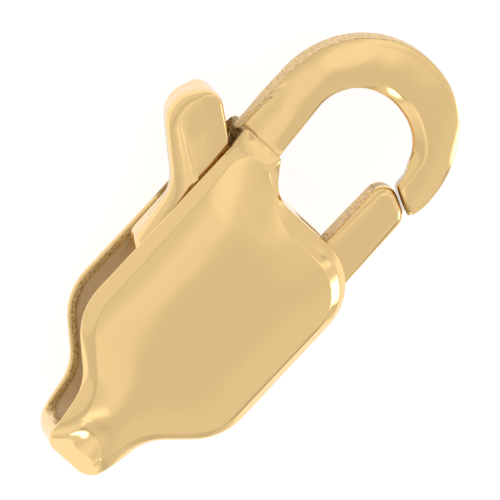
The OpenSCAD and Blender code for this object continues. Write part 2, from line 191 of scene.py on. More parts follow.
# At the tail's end the ridges bow towards the middle, where the facet of the nose runs out.
for line, bow in ((ridge_line, 0.42), (inner_ridge_line, 0.30)):
    from_middle = (line[:, 1] - 0.15) / 0.6
    line[:, 0] += bow * np.clip(1 - from_middle ** 2, 0, 1) * fade(line[:, 0], -5.2, -5.7)

# The lower and the upper side of the cheek are two chains of columns from the tail to the root. Equal
# shares of the way lie opposite each other and join over the crown's middle line.
outline_count = len(lip_line)
corner_at = corner_places(arc_steps, side_steps)
root_middle = (corner_at[ROOT_LOW] + corner_at[ROOT_HIGH]) / 2
tail_middle = (corner_at[-1] + outline_count + corner_at[0]) / 2
chain_share = np.array([0, 0.05, 0.16, 0.28, 0.64, 0.80, 0.95, 1])
lower_places = np.array([tail_middle - outline_count, *corner_at[:ROOT_HIGH], root_middle])
upper_share = chain_share[[0, 1, 2, 3, 6, 7]]
upper_places = np.array([tail_middle, *corner_at[:ROOT_LOW:-1], root_middle])
middle_points = np.array([[-5.2, 0], [-5.1, 0], [-4.75, 0], [-3.5, 0], [0.3, -0.1], [0.95, 0.85], [1.55, 1.60],
                          [1.55, 1.60]])


def outline_at(line, place):
    """Point of a closed outline at each real index, on the straight line between its two neighbours."""
    place = np.mod(place, len(line))
    index = np.arange(len(line) + 1)
    return np.stack([np.interp(place, index, np.append(line[:, k], line[0, k])) for k in (0, 1)], 1)


def lip_height(x, y):
    """Height of the lip above the middle plane: along the nose it rises from 0.3 on a quarter circle 0.9
    long, and at the root it fades to 0.86 at the lower end and 0.74 at the upper one."""
    nose = np.sqrt(1 - (1 - np.clip((x - TAIL_X) / 0.9, 0, 1)) ** 2)
    body = mixed(NOSE_LIP, LIP_HEIGHT, nose)
    return mixed(body, mixed(*ROOT_LIPS, fade(y, 1.2, 1.8)), fade(x, ROOT_X - 0.76, ROOT_X))


def ridge_height(x, y):
    """Height of the ridge, less a soft dip towards the tail and one, above the throat, towards the neck."""
    return (RIDGE_HEIGHT - TAIL_DIP * fade(x, TAIL_X + 1.79, TAIL_X + 0.6)
            - NECK_DIP * fade(x, 0.3, 2.05) * fade(y, -0.3, 0.9))


def depth_inside(points, outline):
    """How deep each point lies inside an outline, as one smooth value: the integral of 1/distance^3 round
    the outline, side by side in closed form, halved, to the power -1/2. Near one side it is the distance."""
    a, b = outline, np.roll(outline, -1, 0)
    along = unit(b - a)
    length = np.linalg.norm(b - a, axis=1)
    total = np.zeros(len(points))
    for part in np.array_split(np.arange(len(a)), 12):
        gap = points[:, None] - a[None, part]
        s = np.sum(gap * along[None, part], -1)
        h2 = np.maximum(np.sum(gap * gap, -1) - s * s, 1e-9)
        first, last = -s, length[None, part] - s
        total += np.sum((last / np.sqrt(last ** 2 + h2) - first / np.sqrt(first ** 2 + h2)) / h2, 1)
    return 1 / np.sqrt(np.maximum(total, 1e-9) / 2)


def crown_height(points):
    """Height of the crown: the ridge's height, and the rise times 1 - (1 - depth / run)^2.2. The rise is
    less at the tail and the neck."""
    x, y = points[..., 0], points[..., 1]
    deep = depth_inside(points.reshape(-1, 2), ridge_line[::2]).reshape(x.shape) / CROWN_RUN
    rise = CROWN_RISE * fade(x, TAIL_X + 0.4, TAIL_X + 1.9) * (1 - 0.6 * fade(x, -0.2, 2.0))
    return ridge_height(x, y) + rise * (1 - (1 - np.clip(deep, 0, 1)) ** 2.2)


# How much of the rim's drop is done at each share of its width: a soft crease at the ridge, then an even
# slope that steepens to the lip. On the waist's lower side it falls late, and on its upper side without a
# crease. On the lower facet it breaks halfway, on the nose it starts flat and ends steep, and on the neck it
# is steep first and flattens to the hook's root.
fine = np.linspace(0, 1, 401)


def drop_of(slope):
    """Share of a drop that is done at each share of the run, from its slope there: the running sum of the
    slope, divided by the whole."""
    drop = np.concatenate([[0], np.cumsum((slope[1:] + slope[:-1]) / 2)])
    return drop / drop[-1]


rim_drop = drop_of(0.28 + 0.62 * fade(fine, 0, 0.2) + 0.25 * fine)
waist_drop = drop_of(0.35 + 0.3 * fine + 1.6 * fade(fine, 0.55, 0.95))
tail_drop = drop_of(0.42 + 0.9 * fine)
facet_drop = drop_of(0.30 + 0.35 * fade(fine, 0, 0.07) + 1.1 * fade(fine, 0.52, 0.66))
nose_drop = drop_of(0.12 + 0.3 * fade(fine, 0, 0.05) + 1.3 * fine ** 1.2)
neck_drop = drop_of(0.5 + 0.5 * fade(fine, 0, 0.12) - 0.25 * fade(fine, 0.5, 1))

# Openings: half height and corner of each, and the places along the lip where it begins and ends. The
# gate's notch begins on the lower side and ends on the side of the throat.
RING_WINDOW, RING_FROM_X, RING_TO_X = (0.40, 0.40), -5.94, -4.99
GATE_NOTCH, GATE_FROM_X, GATE_TO_Y = (0.478, 0.06), 0.76, -0.209
LEVER_SLOT, SLOT_FROM_X, SLOT_TO_X = (0.84, 0.24), -6.03, 2.26
SLOT_LAND = 0.04  # least metal that stays between the slot and the lip


def opening(along, start, end, half, corner):
    """Half height of an opening at each place along the lip: 0 outside it, and from each of its ends it
    rises on a quarter circle as wide as the corner."""
    inside = np.minimum(along - start, end - along)
    q = np.clip(inside / corner, 0, 1)
    return np.where(inside > 1e-6, half - corner + corner * np.sqrt(1 - (1 - q) ** 2), 0)


def place_where(places, axis, value):
    """First place of a chain where the lip rises past a value along an axis, between two neighbours."""
    v = outline_at(lip_line, places)[:, axis]
    passed = v > value
    k = int(np.argmax(passed[1:] & ~passed[:-1])) + 1
    return places[k - 1] + (places[k] - places[k - 1]) * (value - v[k - 1]) / (v[k] - v[k - 1])


lower_fine = np.interp(np.linspace(0, 1, 4001), chain_share, lower_places)
upper_fine = np.interp(np.linspace(0, 1, 4001), upper_share, upper_places)
ring_start, ring_end = place_where(lower_fine, 0, RING_FROM_X), place_where(lower_fine, 0, RING_TO_X)
gate_start = place_where(lower_fine, 0, GATE_FROM_X)
gate_end = place_where(lower_fine[lower_fine > corner_at[THROAT_FOOT]], 1, GATE_TO_Y)
slot_start, slot_end = place_where(upper_fine, 0, SLOT_FROM_X), place_where(upper_fine, 0, SLOT_TO_X)

# Length along the lip from its first point.
lip_length = np.linalg.norm(np.diff(lip_line, axis=0, append=lip_line[:1]), axis=1)
lip_length = np.concatenate([[0], np.cumsum(lip_length)])


def length_at(place):
    """Length along the lip at a place, with a whole round for each turn of the index."""
    turns = np.floor(place / outline_count)
    return turns * lip_length[-1] + np.interp(place - turns * outline_count,
                                              np.arange(outline_count + 1), lip_length)


def place_at(length):
    """Place on the lip at a length, the inverse of length_at."""
    turns = np.floor(length / lip_length[-1])
    return turns * outline_count + np.interp(length - turns * lip_length[-1], lip_length,
                                             np.arange(outline_count + 1))


# Columns stand every 0.05 mm or so, and close together where an opening begins and ends.
EVEN_COLUMNS = 236
LEAST_SHARE = 0.0012  # an even column nearer than this to a close one is left out
close_steps = np.array([0, 0.008, 0.02, 0.04, 0.07, 0.11, 0.17, 0.25, 0.35])
lower_chain, upper_chain = (lower_places, chain_share, 1), (upper_places, upper_share, -1)
crowded = []
for place, way, (places, share, rising) in ((ring_start, 1, lower_chain), (ring_end, -1, lower_chain),
                                            (gate_start, 1, lower_chain), (gate_end, -1, lower_chain),
                                            (slot_start, -1, upper_chain), (slot_end, 1, upper_chain)):
    spots = place_at(length_at(place) + way * close_steps)
    crowded.append(np.interp(rising * spots, rising * places, share))
crowded = np.sort(np.concatenate(crowded))
even = np.linspace(0, 1, EVEN_COLUMNS)
even = even[np.min(np.abs(even[:, None] - crowded[None]), 1) > LEAST_SHARE]
column_share = np.unique(np.concatenate([even, crowded]))

crown_steps = np.array([1, .94, .86, .77, .68, .59, .5, .42, .35, .285, .225, .175, .13, .09, .058, .033,
                        .014, 0])
rim_steps = np.array([.015, .035, .055, .08, .11, .145, .18, .22, .27, .35, .44, .52, .56, .60, .64, .70,
                      .81, .9])
UP = np.array([0, 0, 0.1])  # only its direction counts


def cheek_rows(places, edge):
    """Rows of one cheek's grid, from the crown's middle line over the ridge, the rim and the lip, down the
    side to the edge of the opening, round the sheet's edge and back over the inside to the middle line.
    Each row is one array with a point for each column. Rows between two lines are blends of them at fixed
    shares, at the heights of the functions above, and corners are arcs."""
    lip, inner = outline_at(lip_line, places), outline_at(inner_lip_line, places)
    ridge, inner_ridge = outline_at(ridge_line, places), outline_at(inner_ridge_line, places)
    middle = np.stack([np.interp(column_share, chain_share, middle_points[:, k]) for k in (0, 1)], 1)
    crown_xy = mixed(ridge[None], middle[None], crown_steps[:, None, None])
    rows = list(raised(crown_xy, crown_height(crown_xy)))

    x, y = ridge[:, 0], ridge[:, 1]
    lip_z, ridge_z = lip_height(lip[:, 0], lip[:, 1]), ridge_height(x, y)
    local_drops = (
        (waist_drop, fade(y, -0.2, -1.0) * fade(x, -2.4, -3.3) * fade(x, -5.6, -5.0)),
        (tail_drop, fade(y, 0.2, 0.5) * fade(x, -3.1, -4.3) * fade(x, -5.8, -5.4)),
        (facet_drop, fade(y, -0.7, -1.4) * fade(x, -0.3, 0.4)),
        (nose_drop, fade(np.abs(y), 0.50, 0.35) * fade(x, -5.2, -5.5)),
        (neck_drop, fade(y, 0.8, 1.2) * fade(x, 1.45, 1.90)))
    evened = fade(x, 1.2, 1.5) * fade(y, 1.5, 1.8) * fade(column_share, 1, 0.97)

    def rim_row(t):
        """Row at that share t of the rim's width, at the drop of each place. Over the neck's upper corner
        it is averaged along the rim, by 5t(1 - t) and at most wholly."""
        drop = np.interp(t, fine, rim_drop)
        for local_drop, where in local_drops:
            drop = mixed(drop, np.interp(t, fine, local_drop), where)
        row = raised(mixed(ridge, lip, t), mixed(ridge_z, lip_z, drop))
        return mixed(row, smoothed(row, 7, closed=False), (evened * min(1, 5 * t * (1 - t)))[:, None])

    rows += [rim_row(t) for t in rim_steps]
    corner = raised(lip, lip_z)
    rows += [corner_arc(rows[-1], corner, corner - UP, np.full(len(lip), LIP_ROUND), s)
             for s in (0, .25, .5, .75, 1)]

    outer_edge, inner_edge = raised(lip, edge), raised(inner, edge)
    small = EDGE_ROUND * fade(edge, 0, 0.1)
    wide = small + SLOT_ROUND * fade(edge, 0.6, 0.75) * fade(lip[:, 1], 0.5, 1.0)
    turn_out = [corner_arc(outer_edge + UP, outer_edge, inner_edge, wide, s) for s in (0, .2, .4, .6, .8, 1)]
    rows += [mixed(rows[-1], turn_out[0], t) for t in (.33, .67)]
    cut_from = len(rows)
    rows += turn_out
    rows += [corner_arc(outer_edge, inner_edge, inner_edge + UP, small, s) for s in (0, .33, .67, 1)]
    cut_to = len(rows) - 1

    solder = NECK_SOLDER * fade(inner[:, 0], 1.3, 1.7)
    inner_corner = raised(inner, np.maximum(lip_z - 0.01 - solder, edge + 0.01))
    inner_ridge_z = ridge_height(inner_ridge[:, 0], inner_ridge[:, 1]) - SHEET - solder
    rows += [mixed(rows[-1], inner_corner, t) for t in (.5, 1)]
    rows += [mixed(inner_corner, raised(inner_ridge, inner_ridge_z), t) for t in (.25, .5, .75, 1)]
    inner_xy = mixed(inner_ridge[None], middle[None], np.array([.08, .2, .36, .56, .78, 1])[:, None, None])
    rows += list(raised(inner_xy, crown_height(inner_xy) - SHEET))
    return np.array(rows), cut_from, cut_to


def grid_faces(rows, columns, first=0):
    """Quads between neighbouring rows and columns of a grid of points."""
    i, j = np.meshgrid(np.arange(rows - 1), np.arange(columns - 1), indexing="ij")
    a = first + i * columns + j
    return np.stack([a, a + 1, a + 1 + columns, a + columns], -1)


MERGE = 0.0002  # in mm; points this close become one


def closed_piece(name, points, faces, marks, body):
    """Mesh object from points in mm on the body's axis: moved to the frame, doubles merged, faces turned
    outwards. marks are values that its material reads at each point."""
    mesh = bpy.data.meshes.new(name)
    mesh.from_pydata(((points + BODY_LIFT) * MM).tolist(), [], sum((part.tolist() for part in faces), []))
    for mark, values in marks.items():
        mesh.attributes.new(mark, "FLOAT", "POINT").data.foreach_set("value", values.astype(np.float32))
    work = bmesh.new()
    work.from_mesh(mesh)
    bmesh.ops.remove_doubles(work, verts=work.verts, dist=MERGE * MM)
    bmesh.ops.recalc_face_normals(work, faces=work.faces)
    work.to_mesh(mesh)
    work.free()
    mesh.shade_smooth()
    piece = bpy.data.objects.new(name, mesh)
    bpy.context.collection.objects.link(piece)
    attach(piece, body)
    return piece


lower_at = np.interp(column_share, chain_share, lower_places)
upper_at = np.interp(column_share, upper_share, upper_places)
lower_length, upper_length = length_at(lower_at), length_at(upper_at)
lower_edge = (opening(lower_length, length_at(ring_start), length_at(ring_end), *RING_WINDOW)
              + opening(lower_length, length_at(gate_start), length_at(gate_end), *GATE_NOTCH))
upper_edge = opening(-upper_length, -length_at(slot_start), -length_at(slot_end), *LEVER_SLOT)
upper_lip = outline_at(lip_line, upper_at)
upper_edge = np.minimum(upper_edge, lip_height(upper_lip[:, 0], upper_lip[:, 1]) - SLOT_LAND)

# Three marks tell the material where the sheet is raw inside, cut at an edge, or browned with painted shade:
# on the wall at the root, on the slot's wall beside the lever, and a little on every cut.
LEVER_STAIN, CUT_STAIN = 0.9, 0.45
points, faces, marks = [], [], {"inside": [], "cut": [], "dull": []}
for places, edge in ((lower_at, lower_edge), (upper_at, upper_edge)):
    rows, cut_from, cut_to = cheek_rows(places, edge)
    count, columns = rows.shape[:2]
    row = np.arange(count)[:, None] + np.zeros(columns)
    on_side = (row > len(crown_steps) + len(rim_steps) + 2) * (row < cut_to)
    # Painted shade in the crease at the root and in the gap beside the lever, and a lighter share on the cuts.
    at_root = fade(rows[..., 0], 2.25, 2.30) * on_side
    by_lever = LEVER_STAIN * fade(rows[..., 0], -0.5, -0.2) * (rows[..., 1] > 2) * on_side
    cut = np.maximum(fade(row, cut_from + 3, cut_from + 6) * (row <= cut_to) * (edge > 0), by_lever)
    dull = np.maximum(np.maximum(at_root, by_lever), CUT_STAIN * cut)
    shut = (edge[:-1] == 0) & (edge[1:] == 0)
    for side_sign in (1, -1):
        quads = grid_faces(count, columns, sum(len(p) for p in points))
        keep = np.ones(quads.shape[:2], bool)
        keep[cut_from:cut_to, shut] = False
        faces.append(quads[keep])
        points.append((rows * [1, 1, side_sign]).reshape(-1, 3))
        for mark, values in (("inside", fade(row, cut_to - 1, cut_to)), ("cut", cut), ("dull", dull)):
            marks[mark].append(values.reshape(-1))

pressed_body = closed_piece("pressed_body", np.concatenate(points), faces,
                            {mark: np.concatenate(values) for mark, values in marks.items()}, "clasp")

# Its finish. Fourteen-carat yellow gold, buffed with rouge: a warm metal with broad soft reflections. The
# cut edges and the inside were pickled and left, so they are paler, matt and grainy, with glints painted into
# their colour here and there; a brown of painted shade darkens the walls in the creases and gaps, the hook's
# inner wall and tip and the gate's end, and specks the cut edges.
# The third colour is painted glints in the raw gold; the fourth is the brown of painted shade.
GOLD, RAW_GOLD, GLINT, STAIN = "#F9D596", "#F8E4BE", "#FFE2A0", "#A8874A"
GRAINS = 15.0  # to the mm; real pits are nearer 100 to the mm, too fine to show, so they are drawn this coarse
WAVES = 0.75  # to the mm, from the buffing wheel
PIT_DEPTH, SHEAR_DEPTH = 0.012, 0.04  # in mm, in scale with the coarse grains


def linear(code):
    """Linear colour of an sRGB hex code: each channel over 12.92 if dark, or else ((c + 0.055) / 1.055)^2.4."""
    c = np.array([int(code[k:k + 2], 16) / 255 for k in (1, 3, 5)])
    c = np.where(c <= 0.04045, c / 12.92, ((c + 0.055) / 1.055) ** 2.4)
    return (*c, 1.0)


def add(tree, kind, inputs=None, **settings):
    """A node of that kind with its settings; each input is a value or another node's output socket."""
    node = tree.nodes.new(kind)
    for name, value in settings.items():
        setattr(node, name, value)
    for name, value in (inputs or {}).items():
        if isinstance(value, bpy.types.NodeSocket):
            tree.links.new(value, node.inputs[name])
        else:
            node.inputs[name].default_value = value
    return node


def gold_finish(name, wave):
    """Buffed gold that turns raw, cut and brown with painted shade by the piece's three marks. wave is how far
    in mm the hand polishing left the surface uneven."""
    material = bpy.data.materials.new(name)
    material.use_nodes = True
    tree = material.node_tree
    shader = tree.nodes["Principled BSDF"]
    place = add(tree, "ShaderNodeTexCoord").outputs["Object"]
    inside, cut, dull = (add(tree, "ShaderNodeAttribute", attribute_name=mark).outputs["Fac"]
                         for mark in ("inside", "cut", "dull"))
    raw = add(tree, "ShaderNodeMath", {0: inside, 1: cut}, operation="MAXIMUM").outputs[0]
    grain = add(tree, "ShaderNodeTexNoise", {"Vector": place, "Scale": GRAINS / MM, "Detail": 2.0}).outputs[0]

    # Colour: gold, raw gold with painted glints inside, then painted shade, which also specks the cut edges.
    glint = add(tree, "ShaderNodeMapRange", {0: grain, 1: 0.60, 2: 0.66, 3: 0.0, 4: 1.0}).outputs[0]
    speck = add(tree, "ShaderNodeMapRange", {0: grain, 1: 0.45, 2: 0.62, 3: 0.0, 4: 0.6}).outputs[0]
    stained = add(tree, "ShaderNodeMath", {0: cut, 1: speck, 2: dull}, operation="MULTIPLY_ADD").outputs[0]
    raw_colour = add(tree, "ShaderNodeMix", {0: glint, 6: linear(RAW_GOLD), 7: linear(GLINT)},
                     data_type="RGBA").outputs[2]
    clean_colour = add(tree, "ShaderNodeMix", {0: inside, 6: linear(GOLD), 7: raw_colour},
                       data_type="RGBA").outputs[2]
    colour = add(tree, "ShaderNodeMix", {0: stained, 6: clean_colour, 7: linear(STAIN)},
                 data_type="RGBA").outputs[2]
    tree.links.new(colour, shader.inputs["Base Color"])

    # Raw metal is rougher, and its pits scatter light as a matt surface does.
    rough = add(tree, "ShaderNodeMapRange", {0: raw, 3: 0.11, 4: 0.38}).outputs[0]
    bare = add(tree, "ShaderNodeMath", {0: cut, 1: 0.7, 2: inside}, operation="MULTIPLY_ADD").outputs[0]
    metal = add(tree, "ShaderNodeMapRange", {0: bare, 3: 1.0, 4: 0.2}).outputs[0]
    tree.links.new(rough, shader.inputs["Roughness"])
    tree.links.new(metal, shader.inputs["Metallic"])

    # Height: waves everywhere, and pits on raw metal, deepest where it was sheared.
    uneven = add(tree, "ShaderNodeTexNoise", {"Vector": place, "Scale": WAVES / MM, "Detail": 1.0}).outputs[0]
    waves = add(tree, "ShaderNodeMath", {0: uneven, 1: wave * MM}, operation="MULTIPLY").outputs[0]
    depth = add(tree, "ShaderNodeMath", {0: cut, 1: SHEAR_DEPTH * MM, 2: PIT_DEPTH * MM},
                operation="MULTIPLY_ADD").outputs[0]
    pits = add(tree, "ShaderNodeMath", {0: depth, 1: raw}, operation="MULTIPLY").outputs[0]
    height = add(tree, "ShaderNodeMath", {0: grain, 1: pits, 2: waves}, operation="MULTIPLY_ADD").outputs[0]
    bump = add(tree, "ShaderNodeBump", {"Height": height, "Strength": 1.0, "Distance": 1.0}).outputs[0]
    tree.links.new(bump, shader.inputs["Normal"])
    return material


# The die left the sheet smooth, so it has the evenest reflections of the three.
pressed_gold = gold_finish("polished_pressed_14k_gold", 0.012)
pressed_body.data.materials.append(pressed_gold)
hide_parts("body")


# Sockets. Two short gold tubes inside the cheeks, soldered to the sheet, that hold the ends of the pivot pin.
PIVOT = np.array([0.1, -1.354])
SOCKET_STEPS = 48
socket_profile = np.array([[0.315, 1.22], [0.315, 0.87], [0.335, 0.84], [0.47, 0.84], [0.5, 0.87], [0.5, 1.22]])


def turned(profile, centre, count):
    """Ring of a closed profile of radius and height turned round an axis along z: at each angle, the centre
    plus the radius times its cosine and sine."""
    a = np.linspace(0, 2 * np.pi, count, endpoint=False)
    x = centre[0] + profile[:, None, 0] * np.cos(a)
    y = centre[1] + profile[:, None, 0] * np.sin(a)
    return np.stack([x, y, np.broadcast_to(profile[:, None, 1], x.shape)], -1)


def wrapped_faces(rows, columns, first=0, close_rows=False):
    """Quads of a grid whose columns close round, and whose rows do too if asked."""
    i, j = np.meshgrid(np.arange(rows if close_rows else rows - 1), np.arange(columns), indexing="ij")
    i2, j2 = (i + 1) % rows, (j + 1) % columns
    return np.stack([first + i * columns + j, first + i * columns + j2,
                     first + i2 * columns + j2, first + i2 * columns + j], -1).reshape(-1, 4)


socket_ring = turned(socket_profile, PIVOT, SOCKET_STEPS)
socket_points = np.concatenate([(socket_ring * [1, 1, side_sign]).reshape(-1, 3) for side_sign in (1, -1)])
socket_faces = [wrapped_faces(len(socket_profile), SOCKET_STEPS, first, True)
                for first in (0, len(socket_points) // 2)]
sockets = closed_piece("sockets", socket_points, socket_faces,
                       {"inside": np.ones(len(socket_points)), "cut": np.zeros(len(socket_points))},
                       "clasp")
sockets.data.materials.append(pressed_gold)
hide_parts("body")


# Hook. A flat gold bar cut out of thick sheet and bent round, then soldered into the neck. Its face and its
# outer shoulder are polished; the side that faces the lever is left as it was sheared, and its inner wall
# and the cut end at the tip are darkened with painted shade.
PLUG = (2.15, 1.81)  # start of the bar's middle line, inside the neck
BEND = np.array([3.96, 0.0])
BEND_RADIUS = 1.89
HOOK_HALF = 0.415
WIDTH_IN_NECK, WIDTH_AT_BEND, WIDTH_MOST, WIDTH_AT_TIP = 1.24, 1.12, 1.3, 0.9
CROWN_BEND = 0.16  # how far the face falls, times the square of the way from its highest line
SHOULDER_ROUND = 0.035
LEAN = 0.17  # how far the inner wall leans back from the upper face to the lower one
WIDER = 0.09  # how much the bar is wider inside the bend
BEAD, BEAD_RISE, BEAD_SPREAD = (2.36, 1.25), 0.045, 0.055  # drop of solder at the lower end of the seam

# The bar's middle line runs straight from the neck, round the bend and a little past its end. way is the
# angle round the bend, and goes on past 90 degrees towards the neck. The last rings draw in, so that the
# cut end has a rounded edge.
straight_share = np.linspace(0, 1, 19)[:-1]
bend_angle = np.concatenate([np.linspace(90, -90, 73), [-92.5, -95, -97.5, -99.8, -101.3, -102.2]])
way = np.concatenate([90 + 60 * (1 - straight_share), bend_angle])
centre = np.concatenate([
    np.stack([mixed(PLUG[0], BEND[0], straight_share), mixed(PLUG[1], BEND_RADIUS, straight_share)], 1),
    BEND + BEND_RADIUS * np.stack([np.cos(np.radians(bend_angle)), np.sin(np.radians(bend_angle))], 1)])
tip_turn = 13.7 * np.clip((-90 - bend_angle) / 12.5, 0, 1)
out_angle = np.radians(np.concatenate([np.full(len(straight_share), 90.0), bend_angle - tip_turn]))
out = np.stack([np.cos(out_angle), np.sin(out_angle)], 1)
bar_width = np.concatenate([
    mixed(WIDTH_IN_NECK, WIDTH_AT_BEND, straight_share),
    mixed(np.where(bend_angle > 0, WIDTH_AT_BEND, WIDTH_AT_TIP), WIDTH_MOST,
          np.cos(np.radians(np.clip(np.abs(bend_angle), 0, 90))) ** 2)])
outer_run = 0.05 + 0.13 * fade(way, 135, 90) - 0.08 * fade(way, -50, -90)
outer_drop = 0.5 * outer_run
inner_run = 0.06 + 0.24 * fade(way, 50, 10) - 0.16 * fade(way, -60, -95)
inner_drop = 0.55 * inner_run
end_inset = np.zeros(len(way))
end_inset[-4:] = [0.004, 0.018, 0.042, 0.075]


def bar_section():
    """Points round the bar's section at each place along it, across and up: from the outer side over a
    sloped shoulder, a face that falls as the square of the way from its highest line and a soft inner edge
    to the inner side, and the same below. Corners are arcs. Last, each point moves across by the lean, in
    even shares from top to bottom, less the extra width, and fully on the inner side alone."""
    half, h = bar_width / 2 - end_inset, HOOK_HALF - end_inset
    apex = -half * (0.35 + 0.3 * fade(way, 80, 120))
    left, right = np.minimum(inner_run, half) - half, half - np.minimum(outer_run, half)

    def face(a):
        """Points of the face that far across."""
        return np.stack([a, h - CROWN_BEND * (a - apex) ** 2], -1)

    side_out, shoulder = np.stack([half, 0 * h], -1), np.stack([half, h - outer_drop], -1)
    middle_in, side_in = np.stack([-half, 0 * h], -1), np.stack([-half, h - inner_drop], -1)
    face_out, face_in = face(right), face(left)
    radius = np.full(len(half), SHOULDER_ROUND)
    inner_round = np.maximum(np.minimum(inner_run, half), 0.05) * 0.8
    upper = [corner_arc(side_out, shoulder, face_out, radius, s) for s in (0, .33, .67, 1)]
    upper += [corner_arc(shoulder, face_out, face(right - 0.04), radius * 1.5, s) for s in (0, .33, .67, 1)]
    upper += [face(mixed(right, left, t)) for t in (.2, .32, .44, .56, .68, .8)]
    upper += [corner_arc(face(left + 0.04), face_in, side_in, inner_round, s) for s in (0, .2, .4, .6, .8, 1)]
    upper += [corner_arc(face_in, side_in, middle_in, inner_drop * 0.8 + 0.01, s) for s in (0, .33, .67, 1)]
    lower = [p * [1, -1] for p in upper[::-1]]
    whole = np.stack([side_out] + upper + [middle_in] + lower, 1)
    lean = LEAN * fade(way, 70, 10)
    wider = WIDER * fade(way, 50, 10) * fade(way, -92, -72)
    whole[..., 0] += ((lean[:, None] * (1 - whole[..., 1] / h[:, None]) / 2 - wider[:, None])
                      * (1 - whole[..., 0] / half[:, None]) / 2)
    return whole


section = bar_section()
hook_rings = raised(centre[:, None] + out[:, None] * section[..., :1], section[..., 1])
from_bead = np.sum((hook_rings[..., :2] - BEAD) ** 2, -1)
hook_rings[..., 2] += BEAD_RISE * np.exp(-from_bead / (2 * BEAD_SPREAD ** 2)) * (section[..., 1] > 0.2)
rings, around = hook_rings.shape[:2]
hook_points = np.concatenate([hook_rings.reshape(-1, 3), [hook_rings[0].mean(0), hook_rings[-1].mean(0)]])
j = np.arange(around)
hook_faces = [wrapped_faces(rings, around)]
for middle, ring in ((rings * around, 0), (rings * around + 1, rings - 1)):
    hook_faces.append(np.stack([0 * j + middle, ring * around + j, ring * around + (j + 1) % around], 1))

# Marks of the hook: its outer side is sheared up to the bend's far end, and its inner wall, below the soft
# edge, and its tip are darkened with painted shade. The two last values are for the middles of the ends.
EDGE_LEFT = 0.03  # strip along each edge that stays polished
SHEARED_REACH, DULL_REACH = 0.012, 0.2  # in from the outer and from the inner side
half_width = bar_width[:, None] / 2
sheared = (section[..., 0] > half_width - SHEARED_REACH) & (np.abs(section[..., 1]) < HOOK_HALF - EDGE_LEFT)
sheared = sheared * fade(way[:, None], -60, 0)
# Painted shade on the inner wall below its soft edge, and on the last rings at the tip.
dull = section[..., 0] < DULL_REACH - half_width
dull = dull & (section[..., 1] < HOOK_HALF - EDGE_LEFT - inner_drop[:, None])
dull = dull | (np.arange(rings)[:, None] > rings - 3)
hook = closed_piece("hook", hook_points, hook_faces,
                    {"inside": np.zeros(len(hook_points)), "cut": np.append(sheared, [0, 0]),
                     "dull": np.append(np.asarray(dull, float), [0, 1])}, "clasp")
# Its finish is the same gold, filed and then buffed by hand, so that reflections waver along the bar.
hook.data.materials.append(gold_finish("filed_and_buffed_14k_gold", 0.05))
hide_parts("body")


# Lever. A thick gold plate on the pivot with a thumb tab that leans towards the hook, and a thinner flat
# gate that reaches the hook's tip. Its edges were rounded by hand, widely on the tab's outer side. The
# tab's side towards the hook and the gate's end are darkened with painted shade, and the gate's inner side
# is left sheared.
LEVER_HALF, LEVER_CROWN, LEVER_HEART = 0.78, 0.04, (0.27, 1.73)
GATE_HALF, GATE_CROWN, GATE_HEART = 0.40, 0.01, (1.83, -1.59)
GATE_INSIDE_Y = -1.145  # the gate's inner side stands above this
EYE_STEPS = 72
ARC_SPACING, SIDE_SPACING = 0.04, 0.06

# Corners of the two plates, anticlockwise. Columns: place along and across, rounding of the outline, width
# and depth of the rounded edge there, and how far the side leans in underneath.
lever_table = np.array([
    [0.72, -0.78, 0.05, 0.05, 0.05, 0.00],
    [1.12, 0.30, 0.60, 0.06, 0.06, 0.00],
    [1.72, 2.33, 0.80, 0.05, 0.07, 0.00],
    [2.66, 3.57, 0.45, 0.11, 0.16, 0.00],
    [1.54, 4.39, 0.78, 0.30, 0.26, 0.10],
    [0.12, 2.67, 1.05, 0.50, 0.24, 0.22],
    [-1.40, 2.48, 0.45, 0.34, 0.30, 0.05],
    [-2.15, 1.70, 0.30, 0.24, 0.30, 0.00],
    [-0.52, -0.78, 0.05, 0.05, 0.05, 0.00],
])
gate_table = np.array([
    [0.10, -2.05, 0.03, 0.03, 0.03, 0.00],  # the root is narrower, clear of the body's inner wall
    [0.76, -2.05, 0.04, 0.03, 0.03, 0.00],
    [0.88, -2.20, 0.04, 0.03, 0.03, 0.00],
    [3.31, -2.20, 0.40, 0.20, 0.14, 0.00],
    [3.83, -1.13, 0.36, 0.22, 0.20, 0.00],
    [0.75, -1.13, 0.05, 0.04, 0.05, 0.00],
    [0.70, -1.70, 0.05, 0.04, 0.05, 0.00],
    [0.45, -1.95, 0.05, 0.04, 0.05, 0.00],
])
eye_profile = np.array([[.33, -.78], [.33, .33], [.55, .33], [.55, .76], [.57, .78], [.76, .78], [.78, .76],
                        [.78, -.76], [.76, -.78]])
face_shares = np.array([1, .8, .6, .42, .28, .17, .09, .04, .012])
edge_angles = np.radians([90, 80, 68, 56, 44, 32, 20, 9, 0])
FACE_ROWS = len(face_shares) + len(edge_angles)


